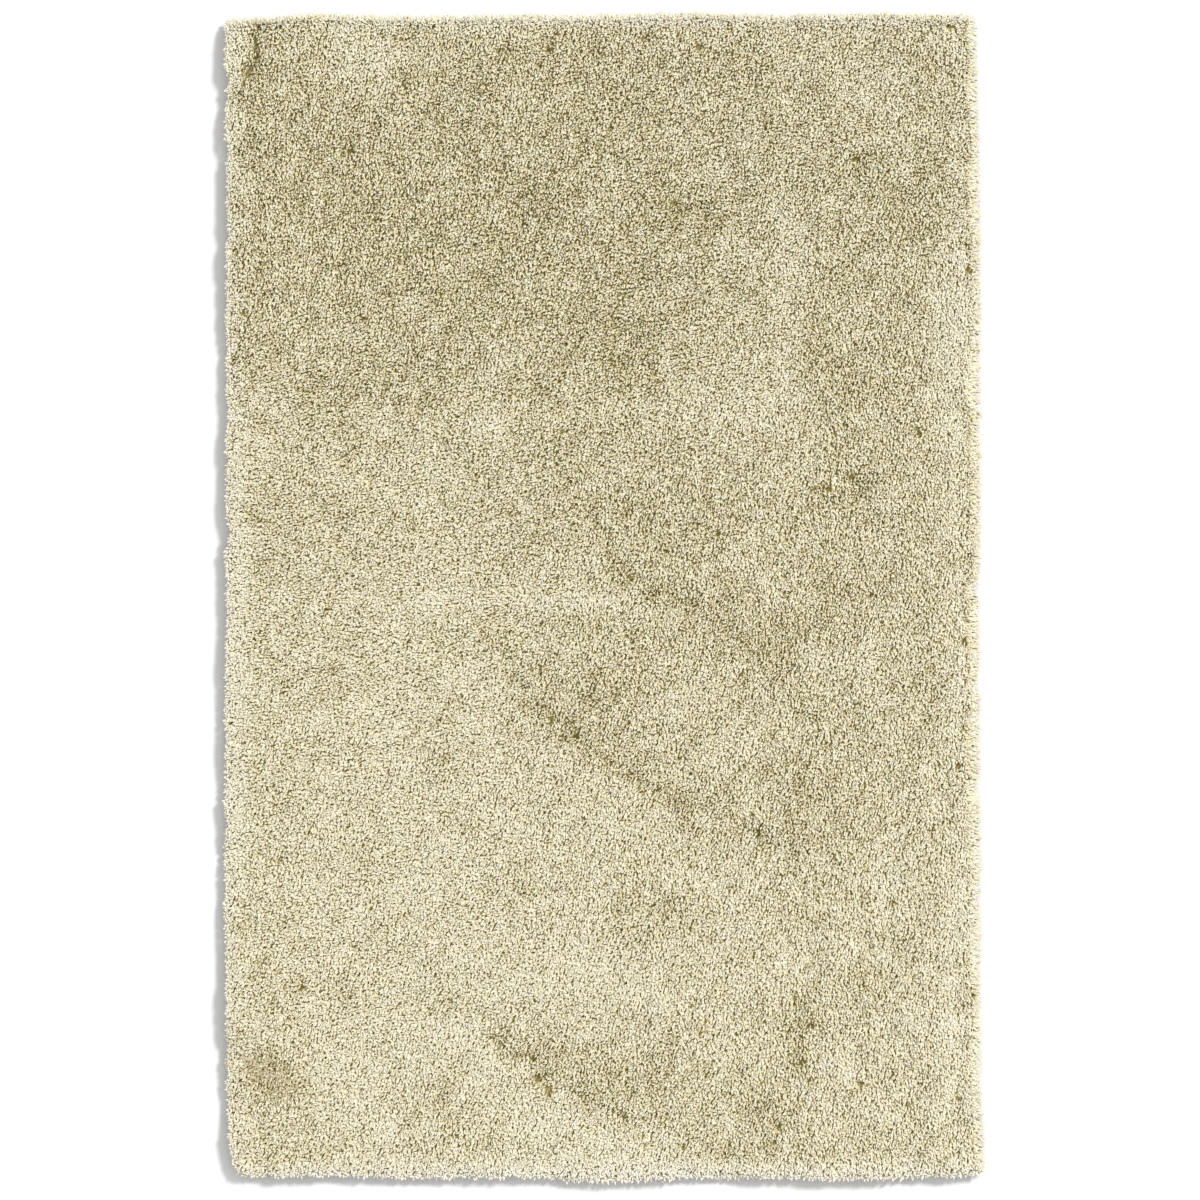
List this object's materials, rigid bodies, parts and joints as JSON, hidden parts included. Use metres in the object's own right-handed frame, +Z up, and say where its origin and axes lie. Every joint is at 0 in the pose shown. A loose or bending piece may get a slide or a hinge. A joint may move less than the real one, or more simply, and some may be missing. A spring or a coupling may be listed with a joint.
{
  "type": "shag rug",
  "caption": "Rectangular deep-pile shag rug lying flat, with uneven edges of loose yarn, soft partings and shallow hollows in its pile, and a flat underside.",
  "frame": {"origin": "on the floor under the middle of the rug's outline", "axes": "+Z up out of the pile, +Y along the rug's length, +X across its width"},
  "size_m": [1.5324, 2.3542, 0.0458],
  "materials": {
    "yarn": "dull twisted cream yarn, long cut pile"
  },
  "bodies": {
    "root": {"shag_pile": "yarn"}
  },
  "joints": []
}
